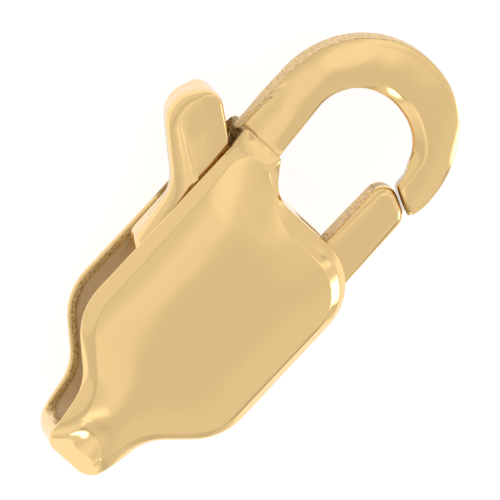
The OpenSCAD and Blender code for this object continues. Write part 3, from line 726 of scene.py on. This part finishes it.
def plate(table, heart, half, crown):
    """Grid of a plate with rounded edges: rows spread from its heart over the face, which falls by the
    crown towards its edge, to the edge's rounding, a quarter ellipse as wide and deep as the table says,
    then down the side and back underneath."""
    corners = table[:, :2]
    steps = np.maximum(3, np.round(table[:, 2] * turns_at(corners) / ARC_SPACING)).astype(int)
    side_steps = np.maximum(2, np.round(side_lengths(corners) / SIDE_SPACING)).astype(int)
    line = smoothed(rounded_outline(corners, table[:, 2], steps, side_steps), 1.5)
    middle = corner_places(steps, side_steps)
    place = np.arange(len(line))
    run, depth, lean = (smoothed(np.interp(place, middle, table[:, k], period=len(line))[:, None], 4)
                        for k in (3, 4, 5))
    tangent = unit(np.roll(line, -1, 0) - np.roll(line, 1, 0))
    inward = smoothed(np.stack([-tangent[:, 1], tangent[:, 0]], 1), 2)
    rows = [raised(mixed(line + inward * run, np.array(heart), t), half - crown * (1 - t) ** 2)
            for t in face_shares]
    rows += [raised(line + inward * run * (1 - np.cos(a)), half - crown - depth[:, 0] * (1 - np.sin(a)))
             for a in edge_angles]
    rows = np.array(rows + [raised(line, 0.4 * (half - depth[:, 0]))])
    below = rows[::-1] * [1, 1, -1]
    below[..., :2] += inward * lean * np.clip(1 - np.linspace(0, 1, len(below)) ** 4, 0, 1)[:, None, None]
    return np.concatenate([rows, below])


lever_rows = plate(lever_table, LEVER_HEART, LEVER_HALF, LEVER_CROWN)
gate_rows = plate(gate_table, GATE_HEART, GATE_HALF, GATE_CROWN)
eye = turned(eye_profile, PIVOT, EYE_STEPS)
gate_cut = (np.abs(gate_rows[..., 2]) < GATE_HALF - EDGE_LEFT) & (gate_rows[..., 1] > GATE_INSIDE_Y)
# Painted shade on the tab's side towards the hook and on the gate's end.
lever_dull = fade(lever_rows[..., 0], 0.95, 1.05) * fade(lever_rows[..., 1], 3.7, 3.4)
gate_dull = fade(gate_rows[..., 0], 3.2, 3.4)
none = np.zeros(eye.shape[:2])
points, faces, cuts, dulls = [], [], [], []
for rows, cut, dull in ((lever_rows, 0 * lever_dull, lever_dull), (gate_rows, gate_cut, gate_dull),
                        (eye, none, none)):
    faces.append(wrapped_faces(*rows.shape[:2], sum(len(p) for p in points), rows is eye))
    points.append(rows.reshape(-1, 3))
    cuts.append(np.asarray(cut, float).reshape(-1))
    from_end = np.minimum(np.arange(len(rows)), np.arange(len(rows))[::-1])
    dulls.append((dull * (from_end >= FACE_ROWS)[:, None]).reshape(-1))
cuts, dulls = np.concatenate(cuts), np.concatenate(dulls)
trigger = closed_piece("trigger_lever", np.concatenate(points), faces,
                       {"inside": 0 * cuts, "cut": cuts, "dull": dulls}, "trigger")
# Its finish is the same gold, cast and buffed, a little less even than the pressed sheet.
trigger.data.materials.append(gold_finish("buffed_cast_14k_gold", 0.03))
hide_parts("trigger")


# Pivot pin and return spring. A short length of drawn 14-carat gold wire held in the two sockets, and a coil
# of bright spring steel wire round it in the lever's eye. Both keep the solids of the CAD. The draw plate
# left fine lines along both wires, which break up their reflections a little.
STEEL = "#C4C3BF"
DRAW_LINES = 30.0  # to the mm
LINE_DEPTH = 0.002


def drawn_wire(name, colour, rough, coiled):
    """Bright drawn wire. Its noise reads only the two coordinates across the wire, so that the lines run
    along it: x and y for a straight wire along z, and for a coil the distance from the pivot and the height."""
    material = bpy.data.materials.new(name)
    material.use_nodes = True
    tree = material.node_tree
    shader = tree.nodes["Principled BSDF"]
    shader.inputs["Base Color"].default_value = linear(colour)
    shader.inputs["Metallic"].default_value = 1.0
    place = add(tree, "ShaderNodeTexCoord").outputs["Object"]
    axis = tuple(-np.append(PIVOT + BODY_LIFT[:2], 0) * MM)
    place = add(tree, "ShaderNodeMapping", {"Vector": place, "Location": axis}).outputs[0]
    flat = add(tree, "ShaderNodeVectorMath", {0: place, 1: (1.0, 1.0, 0.0)}, operation="MULTIPLY").outputs[0]
    if coiled:
        radius = add(tree, "ShaderNodeVectorMath", {0: flat}, operation="LENGTH").outputs["Value"]
        height = add(tree, "ShaderNodeSeparateXYZ", {0: place}).outputs["Z"]
        flat = add(tree, "ShaderNodeCombineXYZ", {"X": radius, "Y": height}).outputs[0]
    lines = add(tree, "ShaderNodeTexNoise", {"Vector": flat, "Scale": DRAW_LINES / MM,
                                             "Detail": 1.0}).outputs[0]
    gloss = add(tree, "ShaderNodeMapRange", {0: lines, 3: rough - 0.06, 4: rough + 0.06}).outputs[0]
    tree.links.new(gloss, shader.inputs["Roughness"])
    bump = add(tree, "ShaderNodeBump", {"Height": lines, "Strength": 1.0, "Distance": LINE_DEPTH * MM})
    tree.links.new(bump.outputs[0], shader.inputs["Normal"])
    return material


for name, finish in (("pivot_pin", drawn_wire("drawn_14k_gold_wire", GOLD, 0.20, False)),
                     ("return_spring", drawn_wire("drawn_spring_steel_wire", STEEL, 0.26, True))):
    node_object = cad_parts[name]
    node_object.data.materials.clear()
    node_object.data.materials.append(finish)


# Floor. A sheet of plain matt white card under the clasp. It glows faintly, as a card lit from below does,
# so that it stays white round the metal and keeps a soft shadow.
bpy.ops.mesh.primitive_plane_add(size=3, location=(0, 0, 0))
floor = bpy.context.object
floor.name = "floor"
card = bpy.data.materials.new("white_card")
card.use_nodes = True
for name, value in (("Base Color", linear("#909090")), ("Roughness", 0.9),
                    ("Emission Color", linear("#FFFFFF")), ("Emission Strength", 0.82)):
    card.node_tree.nodes["Principled BSDF"].inputs[name].default_value = value
floor.data.materials.append(card)


# Light. A bright, soft tent all round. Its light is the sum of a level by the direction's y, across the
# clasp from the low front wall over the panels to the low back wall, a level by its x, along the clasp, and
# patches that show in single faces of the metal.
ACROSS = [(-1.0, 0.54), (-0.92, 0.46), (-0.87, 0.34), (-0.79, 0.34), (-0.72, 0.52), (-0.55, 0.51),
          (-0.36, 0.44), (-0.26, 0.44), (-0.18, 0.60), (-0.03, 0.62), (0.10, 0.50), (0.24, 0.47),
          (0.30, 0.38), (0.48, 0.38), (0.60, 0.52), (1.0, 0.56)]
ALONG = [(-1.0, 0.36), (-0.55, 0.30), (0.5, 0.30), (0.8, 0.38), (1.0, 0.34)]
# Direction of each patch, the angles from it in degrees where it is whole and where it ends, and its light.
PATCHES = [
    ((0.25, -0.12, 0.96), 4, 16, 0.10),     # the crown towards the neck, and the hook's face
    ((-0.62, -0.30, 0.72), 2, 7, -0.30),    # shade beside the nose's facet and inside the bend
    ((0.66, -0.15, 0.73), 4, 9, -0.28),     # shade in the crease over the neck
    ((-0.02, -0.83, 0.55), 6, 13, -0.30),   # shade on the inside, seen through the slot, and on the lower rim
    ((0.56, -0.38, 0.73), 3, 6, 0.35),      # the rim at the foot of the throat
    ((-0.765, -0.46, 0.45), 6, 11, 2.4),    # glints on the nose's facet and inside the bend
    ((-0.45, -0.10, 0.887), 2, 7, 0.35),    # the streak over the tail
    ((0.38, -0.74, 0.55), 8, 13, 2.4),      # the bright lip at the foot of the throat and the hook's shoulder
    ((0.42, -0.36, 0.83), 6, 12, 0.07),     # the crown's slope to the throat
]
world = bpy.data.worlds.new("light_tent")
bpy.context.scene.world = world
world.use_nodes = True
tree = world.node_tree
direction = add(tree, "ShaderNodeTexCoord").outputs["Generated"]
parts = add(tree, "ShaderNodeSeparateXYZ", {0: direction}).outputs


def level_by(part, levels):
    """Light by one part of the direction, through a colour ramp between the levels, which are given as a
    value of that part and the light there."""
    low, high = levels[0][0], levels[-1][0]
    share = add(tree, "ShaderNodeMapRange", {0: part, 1: low, 2: high})
    ramp = add(tree, "ShaderNodeValToRGB", {0: share.outputs[0]})
    ramp.color_ramp.interpolation = "EASE"
    for k, (value, level) in enumerate(levels):
        spot = (value - low) / (high - low)
        stop = ramp.color_ramp.elements[k] if k < 2 else ramp.color_ramp.elements.new(spot)
        stop.position = spot
        stop.color = (level, level, level, 1)
    return ramp.outputs[0]


levels = {0: level_by(parts["Y"], ACROSS), 1: level_by(parts["X"], ALONG)}
light = add(tree, "ShaderNodeMath", levels).outputs[0]
for towards, inner, outer, strength in PATCHES:
    facing = add(tree, "ShaderNodeVectorMath", {0: direction, 1: tuple(unit(np.array(towards, float)))},
                 operation="DOT_PRODUCT").outputs["Value"]
    patch = add(tree, "ShaderNodeMapRange", {0: facing, 1: np.cos(np.radians(outer)),
                                             2: np.cos(np.radians(inner)), 3: 0.0, 4: strength},
                interpolation_type="SMOOTHSTEP").outputs[0]
    light = add(tree, "ShaderNodeMath", {0: patch, 1: light}).outputs[0]
tree.links.new(light, tree.nodes["Background"].inputs["Strength"])
tree.nodes["Background"].inputs["Color"].default_value = linear("#FFFFFF")


# Camera. A long lens far above the clasp, tilted to look at it from the slot's side, and rolled so that the
# clasp runs from the lower left to the upper right.
TILT, ROLL = np.radians(18), np.radians(46.9)
TILT_WAY = (0.16, 0.987)
IMAGE, PIXELS_PER_MM = 500, 41.6
AIM_RIGHT, AIM_UP = 5.2, 7.0  # pixels from the body's axis to the middle of the image
LENS, SENSOR = 600, 36
back = unit(np.array([TILT_WAY[0] * np.sin(TILT), TILT_WAY[1] * np.sin(TILT), np.cos(TILT)]))
along_x = unit(np.array([1.0, 0, 0]) - back[0] * back)
across = np.cross(back, along_x)
right = np.cos(ROLL) * along_x - np.sin(ROLL) * across
up = np.sin(ROLL) * along_x + np.cos(ROLL) * across
aim = BODY_LIFT + (AIM_RIGHT * right + AIM_UP * up) / PIXELS_PER_MM
place = (aim + back * IMAGE / PIXELS_PER_MM * LENS / SENSOR) * MM
camera_data = bpy.data.cameras.new("camera")
camera_data.lens = LENS
camera_data.sensor_width = SENSOR
camera_data.clip_start = 0.005
camera_data.clip_end = 20
camera = bpy.data.objects.new("camera", camera_data)
bpy.context.collection.objects.link(camera)
camera.matrix_world = Matrix(((right[0], up[0], back[0], place[0]), (right[1], up[1], back[1], place[1]),
                              (right[2], up[2], back[2], place[2]), (0, 0, 0, 1)))
bpy.context.scene.camera = camera
bpy.context.scene.view_settings.view_transform = "Standard"
